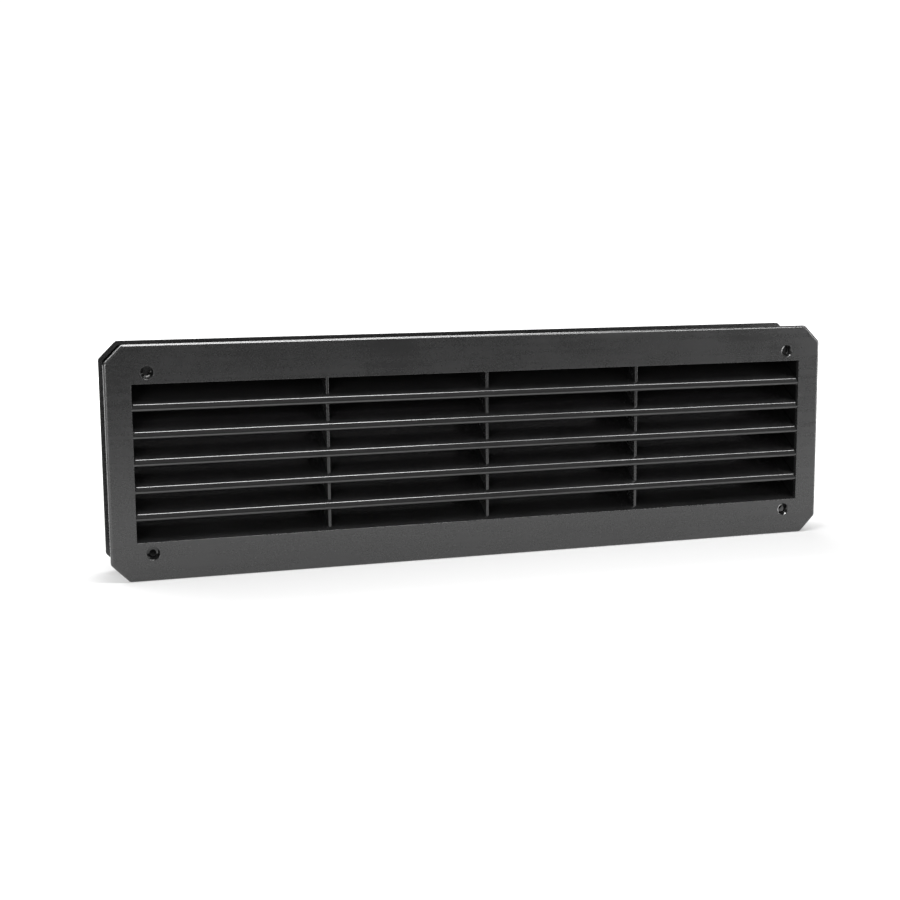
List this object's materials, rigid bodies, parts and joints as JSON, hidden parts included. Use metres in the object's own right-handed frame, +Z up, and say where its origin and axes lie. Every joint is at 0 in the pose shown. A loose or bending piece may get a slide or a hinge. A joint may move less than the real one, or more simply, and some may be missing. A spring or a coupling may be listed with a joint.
{
  "type": "louvred air grille",
  "caption": "Two-part louvred air grille: two flanged, slatted halves whose sleeves telescope to suit the thickness of a door.",
  "frame": {"origin": "centre of the footprint, level with the bottom edges of both faceplates", "axes": "+X along the grille, -Y out of the front face, +Z up; the rear half slides along +Y"},
  "size_m": [0.456, 0.039, 0.136],
  "materials": {
    "faceplate_black": "satin, fine moulded grain",
    "louvre_black": "satin",
    "rib_black": "satin",
    "sleeve_black": "matt, as moulded"
  },
  "bodies": {
    "front_half": {"front_faceplate": "faceplate_black", "front_sleeve": "sleeve_black", "front_louvre_1": "louvre_black", "front_louvre_2": "louvre_black", "front_louvre_3": "louvre_black", "front_louvre_4": "louvre_black", "front_louvre_5": "louvre_black", "front_sill_louvre": "louvre_black", "front_rib_left": "rib_black", "front_rib_centre": "rib_black", "front_rib_right": "rib_black"},
    "rear_half": {"rear_faceplate": "faceplate_black", "rear_sleeve": "sleeve_black", "rear_louvre_1": "louvre_black", "rear_louvre_2": "louvre_black", "rear_louvre_3": "louvre_black", "rear_louvre_4": "louvre_black", "rear_louvre_5": "louvre_black", "rear_sill_louvre": "louvre_black", "rear_rib_left": "rib_black", "rear_rib_centre": "rib_black", "rear_rib_right": "rib_black"}
  },
  "joints": [
    {"name": "rear_half_slide", "type": "slide", "parent": "front_half", "child": "rear_half", "axis": [0, 1, 0], "range_m": [0, 0.01]}
  ]
}
